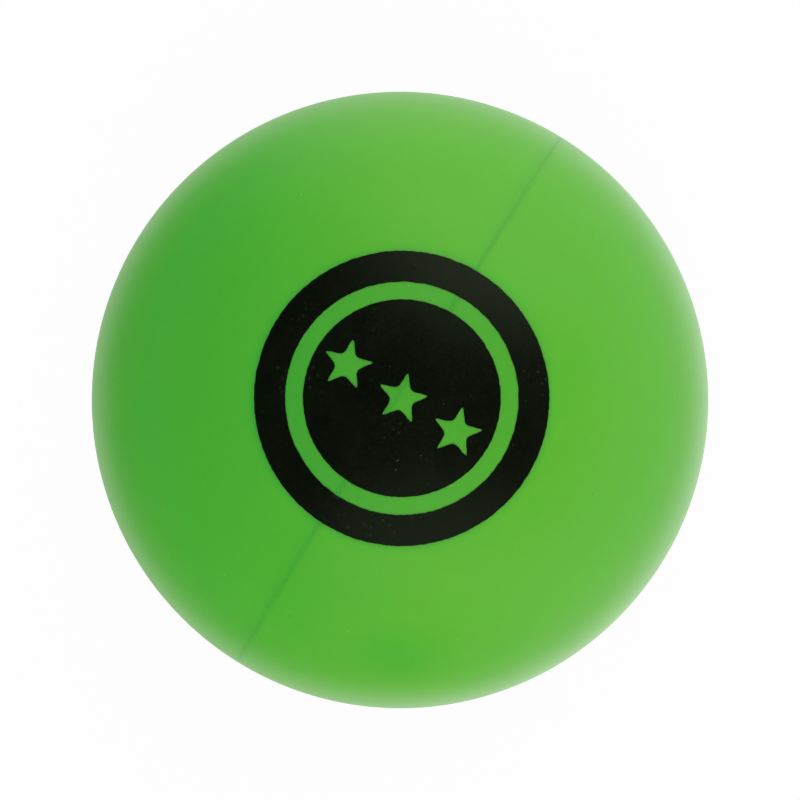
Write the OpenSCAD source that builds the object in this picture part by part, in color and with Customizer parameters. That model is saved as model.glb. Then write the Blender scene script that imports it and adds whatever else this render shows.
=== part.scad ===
// Table tennis ball: two thin half shells joined by a stepped lap joint and
// cement, with a round mark printed in ink across the seam.
//
// The origin is the ball's centre. The seam lies in the XZ plane, so the poles
// of the two half shells are on the Y axis, and the print faces up, along +Z.

/* [Ball] */
// Outside diameter of the ball
ball_d = 40; // [30:0.5:60]
// Thickness of the shell wall
wall = 0.4; // [0.3:0.05:0.8]

/* [Seam] */
// How far the inner lip reaches under the outer lip
lap = 1; // [0.5:0.1:3]
// Gap between the two rims, filled with cement, that shows as the seam
seam_gap = 0.12; // [0.06:0.01:0.3]
// Thickness of the cement film between the two lips
film = 0.04; // [0.02:0.01:0.08]
// Width of the cement bead squeezed out inside the ball
bead_w = 0.9; // [0.5:0.1:2]
// Height of that bead above the inside of the wall
bead_h = 0.12; // [0.06:0.02:0.3]

/* [Print] */
// Diameter of the printed roundel, measured straight across
print_d = 18; // [10:0.5:24]
// Thickness of the ink
ink = 0.03; // [0.02:0.005:0.05]
// How far the roundel's centre sits from the seam, along the surface
print_off_seam = 0.3; // [0:0.1:4]
// Width of the black border, outside the clear ring
border_w = 1.9; // [0.5:0.1:3]
// Width of the clear ring that shows the ball's own colour
ring_w = 1.1; // [0.4:0.1:2]
// Number of stars in the row across the field
star_n = 3; // [1:1:5]
// Black left between each end of the row and the clear ring
star_margin = 0.4; // [0.2:0.1:1]
// Space between the circles round two neighbouring stars
star_gap = 0.5; // [0.1:0.1:1]

/* [Hidden] */
$fn = 240;

ball_r = ball_d / 2;
inner_r = ball_r - wall;
// Each lip takes half of the wall that the cement film leaves
lip_t = (wall - film) / 2;
outer_lip_r = ball_r - lip_t;
inner_lip_r = inner_r + lip_t;
// Larger than any half profile, for cutting it along the axis
reach = ball_d;

print_r = print_d / 2;
ring_out_r = print_r - border_w;
ring_in_r = ring_out_r - ring_w;
// The stars share the width that the margins and gaps leave
star_d = (2 * (ring_in_r - star_margin) - (star_n - 1) * star_gap) / star_n;
star_pitch = star_d + star_gap;
// The roundel leans away from the top by the angle of its offset along the surface
print_lean = print_off_seam / ball_r * 180 / PI;
// A five-pointed star whose edges line up across it has this inner radius share
star_share = sin(18) / sin(54);

shell_color = "#57b436";
cement_color = "#3c9a2f";
ink_color = "#14180f";

// Half of a spherical layer's profile, from radius r_in to r_out, cut between
// the heights z0 and z1 above the seam
module layer(r_in, r_out, z0, z1) {
    intersection() {
        difference() {
            circle(r_out);
            circle(r_in);
        }
        translate([0, z0]) square([reach, z1 - z0]);
    }
}

// A profile turned about the poles, which lie on the Y axis
module turned() {
    rotate([-90, 0, 0]) rotate_extrude() children();
}

// The half on the +Y side, whose outer lip covers the other half's inner lip
module socket_half_shell() {
    color(shell_color) turned() {
        layer(outer_lip_r, ball_r, seam_gap / 2, reach);
        layer(inner_r, ball_r, lap + seam_gap / 2, reach);
    }
}

// The half on the -Y side, whose inner lip fits under the outer lip
module spigot_half_shell() {
    color(shell_color) turned() {
        layer(inner_r, inner_lip_r, -reach, lap - seam_gap / 2);
        layer(inner_r, ball_r, -reach, -seam_gap / 2);
    }
}

// The bead's round profile, where it stands on the inside of the wall
module bead_profile() {
    round_r = (pow(bead_w / 2, 2) + pow(bead_h, 2)) / (2 * bead_h);
    wall_x = sqrt(pow(inner_r, 2) - pow(lap, 2));
    intersection() {
        translate([wall_x - bead_h + round_r, lap]) circle(round_r);
        difference() {
            circle(inner_r);
            circle(inner_r - 2 * bead_h);
        }
        translate([0, lap - bead_w]) square([reach, 2 * bead_w]);
    }
}

// One closed ring of cement: the strip in the seam, the film between the lips,
// the strip at the inner lip's end and the bead inside
module seam_cement() {
    color(cement_color) turned() {
        layer(inner_lip_r, ball_r, -seam_gap / 2, seam_gap / 2);
        layer(inner_lip_r, outer_lip_r, -seam_gap / 2, lap + seam_gap / 2);
        layer(inner_r, outer_lip_r, lap - seam_gap / 2, lap + seam_gap / 2);
        bead_profile();
    }
}

// A layer of ink on the ball's surface, in the shape of its 2D children
module inked() {
    color(ink_color) rotate([print_lean, 0, 0]) intersection() {
        difference() {
            sphere(ball_r + ink);
            sphere(ball_r);
        }
        linear_extrude(ball_r + 2 * ink) children();
    }
}

module star() {
    points = [for (i = [0:9])
        let (r = star_d / 2 * (i % 2 == 0 ? 1 : star_share), a = 90 + 36 * i)
        [r * cos(a), r * sin(a)]];
    polygon(points);
}

// The outer black band of the roundel
module ink_border() {
    inked() difference() {
        circle(print_r);
        circle(ring_out_r);
    }
}

// The black field inside the clear ring, with the row of stars left open
module ink_star_field() {
    inked() difference() {
        circle(ring_in_r);
        for (i = [0:star_n - 1])
            rotate(-90) translate([(i - (star_n - 1) / 2) * star_pitch, 0]) star();
    }
}

socket_half_shell();
spigot_half_shell();
seam_cement();
ink_border();
ink_star_field();
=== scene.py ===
# %% [markdown]
# # A table tennis ball
# The ball is a hollow green plastic sphere, 40 mm across, made of two thin half shells that are
# cemented together, with a round mark printed across the seam. Each of those pieces is already there at
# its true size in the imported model, which this lesson loads first. Every piece made here stands for one
# of its nodes.

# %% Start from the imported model
import math
import random

import bmesh
import bpy
from mathutils import Matrix, Vector, noise


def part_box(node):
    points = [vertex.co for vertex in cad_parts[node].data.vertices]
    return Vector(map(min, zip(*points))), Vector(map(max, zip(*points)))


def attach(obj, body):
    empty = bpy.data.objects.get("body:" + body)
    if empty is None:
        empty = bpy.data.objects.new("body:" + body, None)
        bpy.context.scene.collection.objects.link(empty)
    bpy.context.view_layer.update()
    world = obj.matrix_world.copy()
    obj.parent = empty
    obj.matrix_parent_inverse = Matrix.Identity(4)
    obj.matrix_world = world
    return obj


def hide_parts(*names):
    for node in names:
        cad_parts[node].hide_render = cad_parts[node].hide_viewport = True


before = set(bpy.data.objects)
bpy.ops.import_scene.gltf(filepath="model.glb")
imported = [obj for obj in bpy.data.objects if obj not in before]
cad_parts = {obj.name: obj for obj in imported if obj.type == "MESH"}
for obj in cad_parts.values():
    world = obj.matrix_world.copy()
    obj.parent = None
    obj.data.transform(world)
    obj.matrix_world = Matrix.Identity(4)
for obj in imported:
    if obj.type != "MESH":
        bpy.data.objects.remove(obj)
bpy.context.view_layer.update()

MM = 0.001

# %% [markdown]
# ## Sizes
# A turned part is settled by a few distances: how far its surfaces are from the centre, and at which
# height along the poles they step. They could be typed in again here, but a second copy of a number
# drifts from the first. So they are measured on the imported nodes, whose points lie exactly on the true
# surfaces. The poles of the two half shells are on the Y axis, and "height" below means the distance
# along it.


# %% Measure the shells and the cement
def distances(node, picked=lambda spot: True):
    """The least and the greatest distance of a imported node's points from the ball's centre, in mm."""
    spots = [vertex.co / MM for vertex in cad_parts[node].data.vertices]
    found = [spot.length for spot in spots if picked(spot)]
    return min(found), max(found)


inner_r, ball_r = distances("socket_half_shell")
half_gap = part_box("socket_half_shell")[0].y / MM
lip_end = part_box("spigot_half_shell")[1].y / MM
step_end = lip_end + 2 * half_gap
outer_lip_r = distances("socket_half_shell", lambda spot: spot.y < lip_end)[0]
inner_lip_r = distances("spigot_half_shell", lambda spot: spot.y > half_gap)[1]
bead_r = distances("seam_cement")[0]
bead_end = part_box("seam_cement")[1].y / MM
print(f"ball {2 * ball_r:.2f} across, wall {ball_r - inner_r:.3f}, lap {lip_end + half_gap:.2f},"
      f" lips meet between {inner_lip_r:.2f} and {outer_lip_r:.2f}")

# %% Measure the print
# The print is flat artwork wrapped on the ball, and its axis leans a little off the vertical.
border_low, border_high = (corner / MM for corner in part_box("ink_border"))
print_r = border_high.x
print_height = math.sqrt(ball_r ** 2 - print_r ** 2)
print_lean = math.asin(-(border_low.y + border_high.y) / 2 / print_height)
print_turn = Matrix.Rotation(print_lean, 4, "X")


def off_axis(node):
    """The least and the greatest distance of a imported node's points from the print's own axis, in mm."""
    spots = [print_turn.inverted() @ (vertex.co / MM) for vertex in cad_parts[node].data.vertices]
    found = [math.hypot(spot.x, spot.y) for spot in spots]
    return min(found), max(found)


ring_out_r = off_axis("ink_border")[0]
ring_in_r = off_axis("ink_star_field")[1]
ink_r = distances("ink_star_field")[1]
print(f"print {2 * print_r:.2f} across, clear ring {ring_in_r:.2f} to {ring_out_r:.2f},"
      f" leans {math.degrees(print_lean):.2f} degrees, ink {ink_r - ball_r:.3f} thick")

# %% [markdown]
# ## The half shells
# Each half is pressed from a warm plastic sheet and trimmed at the rim, where a step is cut so that one
# half slips inside the other. It could be a sphere primitive cut in two and given a wall by Solidify,
# but then the stepped lip would have to be cut afterwards. A wall's section is easier: draw it once, as
# a pen would, and spin it round the poles. Two stops at the same distance from the centre are joined by
# an arc, and any other two by a straight line. All drawing is in millimetres, because Blender's fill
# and bevel work with fixed small tolerances that would swallow details a few hundredths of a millimetre
# wide if the unit were the metre.

# %% Draw a section and turn it
TURN_STEPS = 256
ARC_STEP = math.radians(0.9)
WHOLE_TURN = math.tau
MERGED = 1e-4
print(f"facets up to {WHOLE_TURN * ball_r / TURN_STEPS:.2f} mm long round the seam")


def on_sphere(distance, height):
    """The point of the section that is this far from the centre, at this height along the poles."""
    return Vector((0.0, height, math.sqrt(max(0.0, distance ** 2 - height ** 2))))


def draw_arc(bm, pen, angle):
    """Draws an arc about the centre from the point pen and returns the point where it ends."""
    steps = max(1, math.ceil(abs(angle) / ARC_STEP))
    drawn = bmesh.ops.spin(bm, geom=[pen], cent=(0, 0, 0), axis=(1, 0, 0), dvec=(0, 0, 0), angle=angle,
                           steps=steps, use_merge=False, use_normal_flip=False, use_duplicate=False)
    return next(part for part in drawn["geom_last"] if isinstance(part, bmesh.types.BMVert))


def draw_section(bm, stops, closed=False):
    """Draws a section through stops, each a distance from the centre and a height along the poles."""
    distance, height = stops[0]
    first = pen = bm.verts.new(on_sphere(distance, height))
    for next_distance, next_height in stops[1:]:
        if next_distance == distance:
            pen = draw_arc(bm, pen, math.acos(next_height / distance) - math.acos(height / distance))
        else:
            pen = bmesh.ops.extrude_vert_indiv(bm, verts=[pen])["verts"][0]
            pen.co = on_sphere(next_distance, next_height)
        distance, height = next_distance, next_height
    if closed:
        bm.edges.new((pen, first))


def turn_section(bm):
    """Turns the drawn section once round the poles, closes the poles and faces the surface outwards."""
    bmesh.ops.spin(bm, geom=bm.verts[:] + bm.edges[:], cent=(0, 0, 0), axis=(0, 1, 0), dvec=(0, 0, 0),
                   angle=WHOLE_TURN, steps=TURN_STEPS, use_merge=True, use_normal_flip=False,
                   use_duplicate=False)
    bmesh.ops.remove_doubles(bm, verts=bm.verts, dist=MERGED)
    bmesh.ops.recalc_face_normals(bm, faces=bm.faces)


# %% Soften a rim
RIM_ROUND = 0.012
RIM_STEPS = 3
CLOSE = 1e-3


def soften_rim(bm, distance, height):
    """Rounds the sharp circle that lies at this distance from the centre and at this height."""
    ring = [edge for edge in bm.edges
            if all(abs(end.co.length - distance) < CLOSE and abs(end.co.y - height) < CLOSE
                   for end in edge.verts)]
    bmesh.ops.bevel(bm, geom=ring, offset=RIM_ROUND, offset_type="OFFSET", profile_type="SUPERELLIPSE",
                    segments=RIM_STEPS, profile=0.5, affect="EDGES", clamp_overlap=True, material=-1)
    print(f"rim at height {height:.2f} rounded along {len(ring)} edges")


# %% Put a finished mesh in the scene
CREASE = math.radians(35)


def place(bm, name, finish):
    """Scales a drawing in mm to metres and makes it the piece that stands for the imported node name."""
    bmesh.ops.scale(bm, vec=(MM, MM, MM), verts=bm.verts)
    mesh = bpy.data.meshes.new(name + "_mesh")
    bm.to_mesh(mesh)
    bm.free()
    mesh.shade_smooth()
    mesh.set_sharp_from_angle(angle=CREASE)
    mesh.materials.append(finish)
    piece = bpy.data.objects.new(name + "_finished", mesh)
    bpy.context.scene.collection.objects.link(piece)
    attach(piece, "root")
    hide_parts(name)
    triangles = sum(len(face.vertices) - 2 for face in mesh.polygons)
    print(f"{piece.name}: {len(mesh.polygons)} faces, {triangles} triangles")
    return piece


# %% [markdown]
# ## A pen for materials
# A pattern is arithmetic on the place of a surface point. Wiring each Math node by hand hides that, so
# a small class wraps a socket and lets Python's own signs add the nodes: 1 - mask is one Math node.
# Every other node comes from one method, which takes its type, its settings and what goes into its
# sockets. The same method wires the materials, the floor and the world.


# %% Write shader maths as Python
class Value:
    """A number that varies over a surface: one output socket of a node tree."""

    def __init__(self, wiring, socket):
        self.wiring = wiring
        self.socket = socket

    def maths(self, operation, first, second):
        return self.wiring.node("ShaderNodeMath", {"operation": operation}, {0: first, 1: second})

    def __add__(self, other):
        return self.maths("ADD", self, other)

    def __sub__(self, other):
        return self.maths("SUBTRACT", self, other)

    def __rsub__(self, other):
        return self.maths("SUBTRACT", other, self)

    def __mul__(self, other):
        return self.maths("MULTIPLY", self, other)

    __radd__ = __add__
    __rmul__ = __mul__


# %% Add any node, and the few patterns that are used often
class Wiring:
    """A node tree under construction, which reads one kind of coordinates."""

    def __init__(self, tree, coordinates):
        self.tree = tree
        self.place = self.node("ShaderNodeTexCoord", {}, {}, coordinates)

    def node(self, kind, settings, inputs, output=0):
        """Adds a node. Settings are set first; an input is a number, a tuple or another Value."""
        node = self.tree.nodes.new(kind)
        for setting, value in settings.items():
            setattr(node, setting, value)
        for socket, value in inputs.items():
            if isinstance(value, Value):
                self.tree.links.new(value.socket, node.inputs[socket])
            else:
                node.inputs[socket].default_value = value
        return Value(self, node.outputs[output])

    def vector_maths(self, operation, first, second=(0.0, 0.0, 0.0), output=0):
        """One Vector Math node on two vectors, or on the first alone."""
        return self.node("ShaderNodeVectorMath", {"operation": operation}, {0: first, 1: second}, output)

    def along(self, direction):
        """How far the place lies along a direction."""
        return self.vector_maths("DOT_PRODUCT", self.place, direction, "Value")

    def distance_to(self, point):
        """How far the place is from a point."""
        return self.vector_maths("DISTANCE", self.place, point, "Value")

    def ramp(self, value, low, high, start=0.0, end=1.0):
        """Goes smoothly from start to end as value goes from low to high."""
        return self.node("ShaderNodeMapRange", {"interpolation_type": "SMOOTHSTEP"},
                         {"Value": value, "From Min": low, "From Max": high, "To Min": start,
                          "To Max": end})

    def noise(self, scale, detail=2.0, rough=0.5, twist=0.0):
        """Soft noise from 0 to 1, with this many features to the metre."""
        return self.node("ShaderNodeTexNoise", {"noise_dimensions": "3D"},
                         {"Vector": self.place, "Scale": scale, "Detail": detail, "Roughness": rough,
                          "Distortion": twist}, "Fac")

    def dots(self, scale):
        """How far each point is from the nearest of many scattered dots, in cells."""
        return self.node("ShaderNodeTexVoronoi", {"voronoi_dimensions": "3D", "feature": "F1"},
                         {"Vector": self.place, "Scale": scale}, "Distance")

    def blend(self, share, first, second):
        """A colour between two: share 0 gives the first and share 1 the second."""
        return self.node("ShaderNodeMix", {"data_type": "RGBA", "clamp_factor": True},
                         {"Factor": share, 6: first, 7: second}, 2)

    def relief(self, height, depth, strength, under=None):
        """A bump whose full height is depth metres, laid over another bump if one is given."""
        inputs = {"Height": height, "Distance": depth, "Strength": strength}
        if under is not None:
            inputs["Normal"] = under
        return self.node("ShaderNodeBump", {}, inputs, "Normal")


# %% Start a material
class Finish(Wiring):
    """A material under construction: one Principled shader, with its constants on its own sockets."""

    def __init__(self, name, constants):
        self.material = bpy.data.materials.new(name)
        self.material.use_nodes = True
        super().__init__(self.material.node_tree, "Object")
        self.shader = next(n for n in self.tree.nodes if n.type == "BSDF_PRINCIPLED")
        for socket, value in constants.items():
            self.shader.inputs[socket].default_value = value

    def feed(self, socket, value):
        """Lets a value drive one of the shader's own sockets."""
        self.tree.links.new(value.socket, self.shader.inputs[socket])

    def done(self):
        """The finished material."""
        print(f"{self.material.name}: {len(self.tree.nodes)} nodes")
        return self.material


# %% [markdown]
# ## The colour of the plastic
# The plastic is coloured right through. It could be one flat green, but a real ball shows slow clouds
# in its pigment and a few specks pressed in with the sheet. Denser plastic isn't a darker grey: it keeps
# its green and loses red, so all but the specks lean towards one deeper green. That deeper green also
# carries painted shade: on the side turned away from the lamps, and in a round spot where a dark
# reflection falls. It is lightest half-way down the ball, which is painted rim light, and deepens again
# underneath. The plastic is also a little milky. Light goes in beside a point, scatters and comes out
# there, so next to black ink, which lets no light in, the green is deeper for the better part of a
# millimetre, and this shade is painted into the colour as well. The cement is the same plastic,
# dissolved, so the shells and the cement share this one function.

# %% Choose the greens
GREEN = (0.140, 0.492, 0.0275, 1.0)
DEEP_GREEN = (0.046, 0.432, 0.0360, 1.0)
UNLIT_GREEN = (0.010, 0.060, 0.020, 1.0)

# How far each cause, from the pigment's clouds to painted shade and painted rim light, takes the green
# towards the deeper green, and the ink's edge towards UNLIT_GREEN
CLOUD_SHARE = 0.07
MOTTLE_SHARE = 0.04
UPPER_SHARE = 0.20
SHADED_SIDE_SHARE = 0.50
LOWER_SHARE = 0.30
SHADE_SPOT_SHARE = 0.33
SEAM_SHARE = 0.17
LAP_SHARE = 0.08
INK_SHADE_SHARE = 0.25
UNLIT_SHARE = 0.10
# The densest place is the upper part on the side with painted shade
print(f"densest at the upper part's thick side: {UPPER_SHARE + SHADED_SIDE_SHARE:.2f} of the way")

# %% Choose where the green is denser
# The first direction is the side turned away from the lamps, painted deeper green as shade, and its range
# the shares of the radius between which it comes in. Half-way down the ball the upper part's density has
# gone but for a small share, which leaves a lighter band there as painted rim light, and the lower part's
# starts. The spot with its radius is painted shade, a dark reflection put into the colour.
SHADED_SIDE = (-0.495, 0.869, 0.0)
SHADED_SIDE_RANGE = (-0.15, 0.68)
RIM_LIGHT_TOP = 13.0
LEFT_HALF_WAY = 0.10
DEEP_BELOW = -10.0
SHADE_SPOT = Vector((-13.8, -8.5, 11.7))
SHADE_SPOT_R = 4.5
INK_SHADE = 0.8
SEAM_SHADE = 0.34

print_axis = print_turn.to_3x3() @ Vector((0, 0, 1))
# A straight line from the middle of the print to its edge, a little longer than the print's radius
print_chord = 2 * ball_r * math.sin(math.asin(print_r / ball_r) / 2)
print(f"light is kept out up to {print_chord + INK_SHADE:.2f} mm from the middle of the print")


# %% Mix the green
def plastic_colour(finish):
    """The green of the moulded plastic at each place, in the shells and in the cement, with painted shade
    and a painted rim light.
    """
    height = finish.along((0.0, 1.0, 0.0))
    off_seam = finish.node("ShaderNodeMath", {"operation": "ABSOLUTE"}, {0: height})
    from_print = finish.distance_to(print_axis * ball_r * MM)
    clouds = finish.ramp(finish.noise(70.0, 3.0), 0.3, 0.7)
    mottle = finish.ramp(finish.noise(420.0, 3.0), 0.3, 0.75)
    shade_starts_at, shade_full_at = (share * ball_r * MM for share in SHADED_SIDE_RANGE)
    level = finish.along((0.0, 0.0, 1.0))
    # Painted rim light: half-way down the ball, where the outline is seen from the camera above, the green
    # is lighter; below it deepens again, so that the painted light stays a band
    above_rim_light = finish.ramp(level, 0.0, RIM_LIGHT_TOP * MM, LEFT_HALF_WAY, 1.0)
    lower_part = finish.ramp(level, DEEP_BELOW * MM, 0.0, 1.0, 0.0)
    # Painted shade: deeper green on the side turned away from the lamps
    painted_side_shade = finish.ramp(finish.along(SHADED_SIDE), shade_starts_at, shade_full_at)
    # Painted shade: a round spot where a dark reflection falls, put into the colour
    painted_shade_spot = finish.ramp(finish.distance_to(SHADE_SPOT * MM), 0.0, SHADE_SPOT_R * MM, 1.0, 0.0)
    seam_line = finish.ramp(off_seam, 0.0, SEAM_SHADE * MM, 1.0, 0.0)
    lap_start = finish.ramp(height, -half_gap * MM, half_gap * MM)
    lap_shade = lap_start * finish.ramp(height, lip_end / 2 * MM, step_end * MM, 1.0, 0.0)
    # Painted shade: next to the ink the green is deeper, and darker still at its edge, as if no light came
    # in there
    painted_ink_halo = finish.ramp(from_print, print_chord * MM, (print_chord + INK_SHADE) * MM, 1.0, 0.0)
    painted_ink_edge = finish.ramp(from_print, print_chord * MM, (print_chord + INK_SHADE / 2) * MM, 1.0, 0.0)

    # The share of deeper green gathers the pigment's clouds, the seam, and the painted shade and rim light
    deep_tone_and_shade = CLOUD_SHARE * clouds + MOTTLE_SHARE * mottle
    deep_tone_and_shade = deep_tone_and_shade + above_rim_light * (UPPER_SHARE + SHADED_SIDE_SHARE * painted_side_shade) + SHADE_SPOT_SHARE * painted_shade_spot
    deep_tone_and_shade = deep_tone_and_shade + SEAM_SHARE * seam_line + LAP_SHARE * lap_shade + INK_SHADE_SHARE * painted_ink_halo
    deep_tone_and_shade = deep_tone_and_shade + LOWER_SHARE * lower_part
    colour = finish.blend(deep_tone_and_shade, GREEN, DEEP_GREEN)
    return finish.blend(UNLIT_SHARE * painted_ink_edge, colour, UNLIT_GREEN)


# %% [markdown]
# ## The shell's finish
# Tumbling with grit leaves the ball satin and not glossy. A gloss setting alone would look like one
# even coat, so the roughness changes where the ball was rubbed, and along the seam, which is buffed
# after the cement is ground off. Two bumps, slow waves and the fine grit's own marks, break the
# reflections up. Subsurface scattering gives the milky depth.

# %% The green plastic
PALE_SPECK = (0.330, 0.620, 0.200, 1.0)
DARK_SPECK = (0.030, 0.130, 0.018, 1.0)


def shell_finish():
    """Satin, slightly milky green plastic."""
    finish = Finish("green_plastic", {
        "IOR": 1.5,
        "Subsurface Weight": 1.0,
        "Subsurface Radius": (0.35, 1.0, 0.25),
        "Subsurface Scale": 0.00045,
    })
    dark_dots = finish.ramp(finish.dots(300.0), 0.020, 0.036, 0.30, 0.0)
    pale_dots = finish.ramp(finish.dots(380.0), 0.020, 0.036, 0.35, 0.0)
    colour = finish.blend(dark_dots, plastic_colour(finish), DARK_SPECK)
    finish.feed("Base Color", finish.blend(pale_dots, colour, PALE_SPECK))

    off_seam = finish.node("ShaderNodeMath", {"operation": "ABSOLUTE"}, {0: finish.along((0.0, 1.0, 0.0))})
    rubbed = finish.ramp(finish.noise(160.0, 4.0, 0.6, 0.4), 0.55, 0.75)
    buffed_seam = finish.ramp(off_seam, 0.4 * MM, 1.6 * MM, 1.0, 0.0)
    finish.feed("Roughness", 0.295 + 0.05 * rubbed - 0.015 * buffed_seam)

    waves = finish.relief(finish.noise(260.0), 0.02 * MM, 0.6)
    grit = finish.noise(9000.0, 2.0, 0.6)
    finish.feed("Normal", finish.relief(grit, 0.004 * MM, 0.5, waves))
    return finish.done()


green_plastic = shell_finish()

# %% Make both half shells
socket = bmesh.new()
draw_section(socket, [(ball_r, ball_r), (ball_r, half_gap), (outer_lip_r, half_gap),
                      (outer_lip_r, step_end), (inner_r, step_end), (inner_r, inner_r)])
turn_section(socket)
soften_rim(socket, ball_r, half_gap)
place(socket, "socket_half_shell", green_plastic)

spigot = bmesh.new()
draw_section(spigot, [(ball_r, -ball_r), (ball_r, -half_gap), (inner_lip_r, -half_gap),
                      (inner_lip_r, lip_end), (inner_r, lip_end), (inner_r, -inner_r)])
turn_section(spigot)
soften_rim(spigot, ball_r, -half_gap)
place(spigot, "spigot_half_shell", green_plastic)

# %% [markdown]
# ## The cement
# Solvent cement is wiped on the inner lip, the halves are pushed together, and what squeezes out stands
# as a bead inside and a thread outside. The thread is ground off, which leaves it a hair below the
# surface. It is the same turned drawing as before, this time closed on itself, so that it makes a ring.
# Only the bead is uneven, because nobody grinds it, and its crown is drawn by a formula.

# %% The cement's finish
def cement_finish():
    """Plastic that the cement has dissolved and that has set again, smoother and unevenly."""
    finish = Finish("green_cement", {
        "IOR": 1.48,
        "Subsurface Weight": 1.0,
        "Subsurface Radius": (0.3, 1.0, 0.25),
        "Subsurface Scale": 0.00006,
    })
    uneven = finish.ramp(finish.noise(900.0, 3.0), 0.35, 0.65)
    finish.feed("Base Color", finish.blend(0.06 * uneven, plastic_colour(finish), DEEP_GREEN))
    finish.feed("Roughness", 0.28 + 0.08 * finish.noise(1500.0))
    finish.feed("Normal", finish.relief(finish.noise(3000.0, 3.0), 0.005 * MM, 0.5))
    return finish.done()


# %% Make the cement ring
GROUND_AWAY = 0.003
BEAD_STEPS = 10
BEAD_UNEVEN = 0.35
BEAD_LUMPS = 0.4

bead_start = step_end + lip_end - bead_end
crown = [(inner_r - (inner_r - bead_r) * math.sin(math.pi * i / BEAD_STEPS),
          bead_end + (bead_start - bead_end) * i / BEAD_STEPS) for i in range(1, BEAD_STEPS)]
cement = bmesh.new()
draw_section(cement, [(ball_r - GROUND_AWAY, -half_gap), (ball_r - GROUND_AWAY, half_gap),
                      (outer_lip_r, half_gap), (outer_lip_r, step_end), (inner_r, step_end),
                      (inner_r, bead_end), *crown, (inner_r, bead_start), (inner_r, lip_end),
                      (inner_lip_r, lip_end), (inner_lip_r, -half_gap)], closed=True)
turn_section(cement)
for vertex in cement.verts:
    depth = inner_r - vertex.co.length
    if depth > CLOSE:
        swell = BEAD_UNEVEN * (noise.noise(vertex.co * BEAD_LUMPS) - 1) / 2
        vertex.co *= 1 - depth * swell / vertex.co.length
place(cement, "seam_cement", cement_finish())

# %% [markdown]
# ## The printed mark
# A silicone pad lifts a film of black ink from an etched plate and presses it on the ball. The mark is
# a round black patch with a clear ring and a row of three stars, where the ball shows through. It could
# be painted in the shell's material by a mask, but real ink stands on the surface and ends in a
# slightly ragged edge, with a few pinholes where dust kept the pad off. So it is made as a film: draw
# the outlines flat, fill between them, score the sheet with a fine grid so that it can bend, lay it on
# the sphere, and give it its thickness. The film is thin, and a little light gets through it to the
# plastic and back, so its shine leans towards green.

# %% The ink's finish
INK = (0.0002, 0.0006, 0.0001, 1.0)
INK_WORN = (0.0034, 0.0060, 0.0022, 1.0)
THIN_INK = (0.0150, 0.0600, 0.0100, 1.0)


def ink_finish():
    """Black ink, half glossy, with a fine grain and, in places, thin spots that show the green faintly."""
    finish = Finish("black_ink", {
        "IOR": 1.45,
        "Specular IOR Level": 0.62,
        "Specular Tint": (0.78, 1.0, 0.62, 1.0),
    })
    clouds = finish.ramp(finish.noise(260.0, 4.0, 0.6), 0.35, 0.7)
    grain = finish.ramp(finish.noise(5200.0, 3.0, 0.7), 0.3, 0.75)
    thin_spots = finish.ramp(finish.dots(2200.0), 0.10, 0.26, 1.0, 0.0)
    starved = finish.ramp(finish.noise(190.0), 0.48, 0.68)
    colour = finish.blend(0.3 * clouds + 0.6 * grain, INK, INK_WORN)
    finish.feed("Base Color", finish.blend(0.5 * thin_spots * starved, colour, THIN_INK))
    finish.feed("Roughness", 0.28 + 0.06 * grain)
    finish.feed("Normal", finish.relief(grain, 0.004 * MM, 0.5))
    return finish.done()


black_ink = ink_finish()

# %% Draw flat outlines
EDGE_POINTS_PER_MM = 12
EDGE_ROUGH = 0.03
EDGE_GRAIN = 4.0
EDGE_SEED = 5
STAR_COUNT = 3
STAR_MARGIN = 0.4
STAR_GAP = 0.5
STAR_CUTS = 9
STAR_SMOOTHING = 6
STAR_SHARE = math.sin(math.radians(18)) / math.sin(math.radians(54))

# Vector noise starts from the clock unless it is given a seed
noise.seed_set(EDGE_SEED)


def roughen(verts):
    """Moves the points of an outline in and out by a few hundredths of a millimetre."""
    for vert in verts:
        vert.co += EDGE_ROUGH * noise.noise_vector(vert.co * EDGE_GRAIN) * Vector((1, 1, 0))


def draw_circle(bm, radius):
    """A round outline of the artwork, ragged as printed ink is."""
    points = round(WHOLE_TURN * radius * EDGE_POINTS_PER_MM)
    drawn = bmesh.ops.create_circle(bm, cap_ends=False, cap_tris=False, segments=points, radius=radius)
    roughen(drawn["verts"])


def draw_star(bm, middle, across):
    """A five-pointed star: a ten-sided circle with every other corner drawn in and the tips rounded."""
    corners = bmesh.ops.create_circle(bm, cap_ends=False, cap_tris=False, segments=10, radius=across / 2,
                                      matrix=Matrix.Translation(middle))["verts"]
    for corner in corners[1::2]:
        corner.co = middle.lerp(corner.co, STAR_SHARE)
    sides = {edge for corner in corners for edge in corner.link_edges}
    bmesh.ops.subdivide_edges(bm, edges=list(sides), cuts=STAR_CUTS, use_grid_fill=False)
    outline = [vert for vert in bm.verts if (vert.co - middle).length < across / 2 + CLOSE]
    for _ in range(STAR_SMOOTHING):
        bmesh.ops.smooth_vert(bm, verts=outline, factor=0.5, use_axis_x=True, use_axis_y=True)
    roughen(outline)


# %% Leave pinholes
PINHOLE_SIDES = 8
PINHOLE_R = (0.022, 0.050)
PINHOLE_CLEAR = 0.3
dust = random.Random(7)


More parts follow.
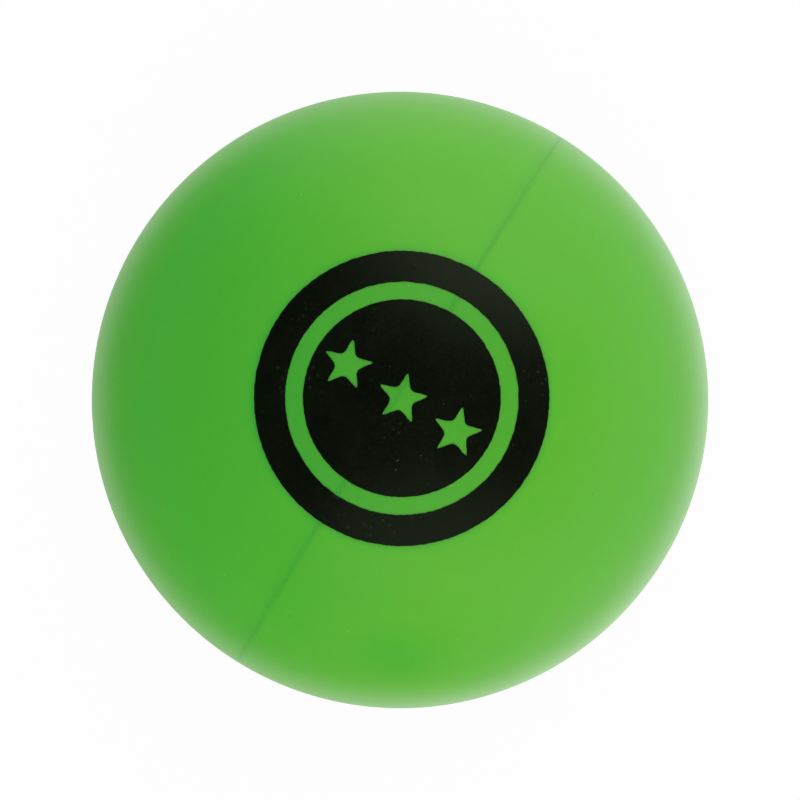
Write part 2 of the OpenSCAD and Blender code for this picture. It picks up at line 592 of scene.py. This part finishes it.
def draw_pinholes(bm, low_r, high_r, count, kept_clear=()):
    """Scatters small holes between two radii, off every outline drawn so far and the circles kept clear."""
    outlines = [vert.co.copy() for vert in bm.verts]
    made = 0
    while made < count:
        turn = dust.uniform(0, WHOLE_TURN)
        far = math.sqrt(dust.uniform(low_r ** 2, high_r ** 2))
        spot = Vector((far * math.cos(turn), far * math.sin(turn), 0))
        size = dust.uniform(*PINHOLE_R)
        if min((spot - point).length for point in outlines) < PINHOLE_CLEAR:
            continue
        if any((spot - middle).length < radius for middle, radius in kept_clear):
            continue
        hole = bmesh.ops.create_circle(bm, cap_ends=False, cap_tris=False, segments=PINHOLE_SIDES,
                                       radius=size, matrix=Matrix.Translation(spot))["verts"]
        outlines += [vert.co.copy() for vert in hole]
        made += 1
    print(f"{made} pinholes between {low_r:.1f} and {high_r:.1f} mm from the middle of the print")


# %% Lay the ink on the ball
CELL = 0.45


def lay_ink(bm, name):
    """Fills flat outlines, scores the sheet, wraps it on the ball and makes it a film of ink."""
    bmesh.ops.triangle_fill(bm, use_beauty=True, use_dissolve=False, edges=bm.edges[:], normal=(0, 0, 1))
    lines = math.ceil(print_r / CELL)
    for normal in (Vector((1, 0, 0)), Vector((0, 1, 0))):
        for i in range(-lines, lines + 1):
            bmesh.ops.bisect_plane(bm, geom=bm.verts[:] + bm.edges[:] + bm.faces[:], dist=1e-5,
                                   plane_co=normal * (i + 0.5) * CELL, plane_no=normal)
    bmesh.ops.remove_doubles(bm, verts=bm.verts, dist=4e-3)
    for vert in bm.verts:
        vert.co.z = math.sqrt(ball_r ** 2 - vert.co.x ** 2 - vert.co.y ** 2)
    top = bmesh.ops.extrude_face_region(bm, geom=bm.faces[:], use_keep_orig=True)["geom"]
    for vert in top:
        if isinstance(vert, bmesh.types.BMVert):
            vert.co *= ink_r / ball_r
    bmesh.ops.recalc_face_normals(bm, faces=bm.faces)
    bmesh.ops.transform(bm, matrix=print_turn, verts=bm.verts)
    place(bm, name, black_ink)


# %% Print the border
border = bmesh.new()
draw_circle(border, print_r)
draw_circle(border, ring_out_r)
draw_pinholes(border, ring_out_r, print_r, 4)
lay_ink(border, "ink_border")

# %% Print the star field
star_across = (2 * (ring_in_r - STAR_MARGIN) - (STAR_COUNT - 1) * STAR_GAP) / STAR_COUNT
star_pitch = star_across + STAR_GAP
# The row of stars runs across the seam, so each star is drawn on the Y axis, tip towards +X
star_middles = [Vector((0, (i - (STAR_COUNT - 1) / 2) * star_pitch, 0)) for i in range(STAR_COUNT)]
print(f"{STAR_COUNT} stars, {star_across:.2f} mm across and {star_pitch:.2f} mm apart")

field = bmesh.new()
for middle in star_middles:
    draw_star(field, middle, star_across)
draw_circle(field, ring_in_r)
draw_pinholes(field, 0, ring_in_r, 6, [(middle, star_across / 2) for middle in star_middles])
lay_ink(field, "ink_star_field")

# %% [markdown]
# ## Camera
# The ball is seen almost along the print's own axis, from far off with a long lens, so that its outline
# is a true circle that fills three quarters of the frame. The seam crosses the view from lower left to
# upper right, and the print sits a hair to the right of the middle and above it.

# %% Aim the camera
LENS = 200.0
SENSOR = 36.0
BALL_SHARE = 0.7707
SEAM_SLOPE = math.radians(58.3)
PRINT_RIGHT = 0.12
PRINT_UP = 0.11
NEAREST = 0.01
FARTHEST = 20.0

up = Vector((math.sin(SEAM_SLOPE), math.cos(SEAM_SLOPE), 0))
right = up.cross(print_axis).normalized()
view_axis = (print_axis * ball_r - right * PRINT_RIGHT - up * PRINT_UP).normalized()
right = up.cross(view_axis).normalized()
up = view_axis.cross(right)
half_view = math.atan(SENSOR / 2 / LENS)
distance = ball_r * MM / math.sin(math.atan(BALL_SHARE * math.tan(half_view)))

camera_data = bpy.data.cameras.new("camera")
camera_data.lens = LENS
camera_data.sensor_width = SENSOR
camera_data.clip_start = NEAREST
camera_data.clip_end = FARTHEST
camera = bpy.data.objects.new("camera", camera_data)
bpy.context.scene.collection.objects.link(camera)
turn = Matrix((right, up, view_axis)).transposed().to_4x4()
camera.matrix_world = Matrix.Translation(view_axis * distance) @ turn
bpy.context.scene.camera = camera
print(f"camera {distance:.4f} m away")

# %% [markdown]
# ## Floor
# The ball lies on white paper. The paper has to stay white to the camera and still hold the ball's
# shadow, so its material mixes matt white paper, which takes the shadow, with a plain glow, which takes
# over a little way from the ball. What the glossy ball mirrors near its outline is this paper too.
# There the glow isn't full white everywhere. Close to the ball it is bright, and brightest on one side.
# Further out it is dim, and brighter towards the wall. Under the ball, where the shadow is, it is dark.

# %% Lay the paper
FLOOR_R = 1.6
FLOOR_SIDES = 64

floor_drawing = bmesh.new()
bmesh.ops.create_circle(floor_drawing, cap_ends=True, cap_tris=False, segments=FLOOR_SIDES,
                        radius=FLOOR_R, matrix=Matrix.Translation((0, 0, -ball_r * MM)))
floor_mesh = bpy.data.meshes.new("floor")
floor_drawing.to_mesh(floor_mesh)
floor_drawing.free()
floor = bpy.data.objects.new("floor", floor_mesh)
bpy.context.scene.collection.objects.link(floor)
print(f"paper {2 * FLOOR_R:.1f} m across, {ball_r:.0f} mm under the ball's centre")

# %% Choose the paper's whites
FLAT = (1.0, 1.0, 0.0)
PAPER_WHITE = (0.82, 0.82, 0.82, 1.0)

# To the camera: up to the first radius the paper stays matt but for a small share of glow, past the
# second radius it is nearly all glow, and at four times that radius it is nothing else
SHADOW_KEPT_R = 10.0
SHADOW_GONE_R = 21.5
GLOW_UNDER_BALL = 0.2
GLOW_AROUND_BALL = 0.95

# In reflections: how bright the paper is at least, and how much its bright side adds
CLOSE_R = 26.0
FAR_R = 57.0
CLOSE_WHITE = 0.60
CLOSE_SIDE_ADDS = 0.40
FAR_WHITE = 0.12
FAR_SIDE_ADDS = 0.40
UNDER_BALL_R = 6.0
UNDER_BALL_SHARE = 0.15

# The two bright sides: how far each is turned up from the view's right, and from which cosine to which it
# comes in
LIT_SIDE = math.radians(-12)
LIT_RANGE = (-0.5, 1.0)
WALL_SIDE = math.radians(25)
WALL_RANGE = (-0.45, 0.4)


# %% Mix the paper
def sideways(angle):
    """A unit vector across the view, turned this far up from its right."""
    return right * math.cos(angle) + up * math.sin(angle)


def light_path(wiring, ray):
    """1 where the ray being traced is of that kind, and 0 elsewhere."""
    return wiring.node("ShaderNodeLightPath", {}, {}, ray)


def white_paper():
    """Matt paper under the ball that turns into an even white away from it."""
    paper = Finish("white_paper", {"Base Color": PAPER_WHITE, "Roughness": 0.9, "Specular IOR Level": 0.1})
    seen = light_path(paper, "Is Camera Ray") + light_path(paper, "Is Transmission Ray")
    mirrored = light_path(paper, "Is Glossy Ray")
    on_floor = paper.vector_maths("MULTIPLY", paper.place, FLAT)
    away = paper.vector_maths("LENGTH", on_floor, output="Value")
    outwards = paper.vector_maths("NORMALIZE", on_floor)
    to_lit_side = paper.vector_maths("DOT_PRODUCT", outwards, sideways(LIT_SIDE), "Value")
    to_wall_side = paper.vector_maths("DOT_PRODUCT", outwards, sideways(WALL_SIDE), "Value")

    close = paper.ramp(away, CLOSE_R * MM, FAR_R * MM, 1.0, 0.0)
    close_white = CLOSE_WHITE + paper.ramp(to_lit_side, *LIT_RANGE, 0.0, CLOSE_SIDE_ADDS)
    far_white = FAR_WHITE + paper.ramp(to_wall_side, *WALL_RANGE, 0.0, FAR_SIDE_ADDS)
    reflected = close * close_white + (1 - close) * far_white
    reflected = reflected * paper.ramp(away, UNDER_BALL_R * MM, ball_r * MM, UNDER_BALL_SHARE, 1.0)

    white = paper.ramp(away, SHADOW_KEPT_R * MM, SHADOW_GONE_R * MM, GLOW_UNDER_BALL, GLOW_AROUND_BALL)
    white = white + paper.ramp(away, SHADOW_GONE_R * MM, 4 * SHADOW_GONE_R * MM, 0.0, 1 - GLOW_AROUND_BALL)
    glow = paper.node("ShaderNodeEmission", {}, {"Color": seen + reflected * mirrored, "Strength": 1.0})
    matt = Value(paper, paper.shader.outputs[0])
    mix = paper.node("ShaderNodeMixShader", {}, {0: white * seen + mirrored, 1: matt, 2: glow})
    output = next(n for n in paper.tree.nodes if n.type == "OUTPUT_MATERIAL")
    paper.tree.links.new(mix.socket, output.inputs["Surface"])
    return paper.done()


floor_mesh.materials.append(white_paper())

# %% [markdown]
# ## World
# The world is the rest of the studio. To the camera it is the same white as the paper. To a matt
# surface it is an even light from everywhere. To a glossy surface it is a dim room with two soft boxes
# in it, one above the view's middle and one below it, and a wall that is brighter low down on one side.
# The boxes are drawn here with soft edges, because a lamp's own hard square would show on the ink.

# %% Light the room
WORLD_LIGHT = 0.82
ROOM = 0.03
WALL = 0.38
WALL_TOP = 0.6
BOX_EDGE = 0.74
# Each soft box: how far to the right, up and towards the camera it stands, its power in watts, and how
# bright its reflection is
SOFT_BOXES = {
    "upper_box": ((0.46, 0.89, 0.50), 1.65, 0.40),
    "lower_box": ((0.14, -0.99, 0.60), 1.60, 0.27),
}


def studio_direction(to_right, upwards, to_camera):
    """A unit vector given by how far it goes to the right, up and towards the camera."""
    return (right * to_right + up * upwards + view_axis * to_camera).normalized()


world = bpy.data.worlds.new("studio")
world.use_nodes = True
bpy.context.scene.world = world
studio = Wiring(world.node_tree, "Generated")
low_down = studio.ramp(studio.along((0.0, 0.0, 1.0)), 0.0, WALL_TOP, 1.0, 0.0)
side = studio.ramp(studio.along(sideways(WALL_SIDE)), *WALL_RANGE)
mirrored_room = ROOM + WALL * side * low_down
for direction, _, reflection in SOFT_BOXES.values():
    towards_box = studio.along(studio_direction(*direction))
    mirrored_room = mirrored_room + studio.ramp(towards_box, BOX_EDGE, 1.0, 0.0, reflection)
seen = light_path(studio, "Is Camera Ray") + light_path(studio, "Is Transmission Ray")
mirrored = light_path(studio, "Is Glossy Ray")
level = seen + mirrored * mirrored_room + (1 - seen - mirrored) * WORLD_LIGHT
backdrop = next(n for n in studio.tree.nodes if n.type == "BACKGROUND")
studio.tree.links.new(level.socket, backdrop.inputs["Color"])
backdrop.inputs["Strength"].default_value = 1.0
print(f"world: {len(studio.tree.nodes)} nodes")

# %% [markdown]
# ## Lamps
# A large square lamp stands in for each soft box and lights the matt part of every surface. Reflections
# don't show the lamps themselves: there the world's soft boxes, in the same directions, take their
# place.

# %% Hang the lamps
LAMP_AWAY = 0.7
LAMP_SIZE = 0.7


def hang_lamp(name, direction, power):
    """A square soft lamp that faces the ball."""
    data = bpy.data.lights.new(name, "AREA")
    data.shape = "SQUARE"
    data.size = LAMP_SIZE
    data.energy = power
    light = bpy.data.objects.new(name, data)
    aim = studio_direction(*direction)
    facing = aim.to_track_quat("Z", "Y").to_matrix().to_4x4()
    light.matrix_world = Matrix.Translation(aim * LAMP_AWAY) @ facing
    light.visible_camera = False
    light.visible_glossy = False
    bpy.context.scene.collection.objects.link(light)
    print(f"lamp {name}: {power} W")


for name, (direction, power, _) in SOFT_BOXES.items():
    hang_lamp(name, direction, power)

# %% Settings
bpy.context.scene.view_settings.view_transform = "Standard"
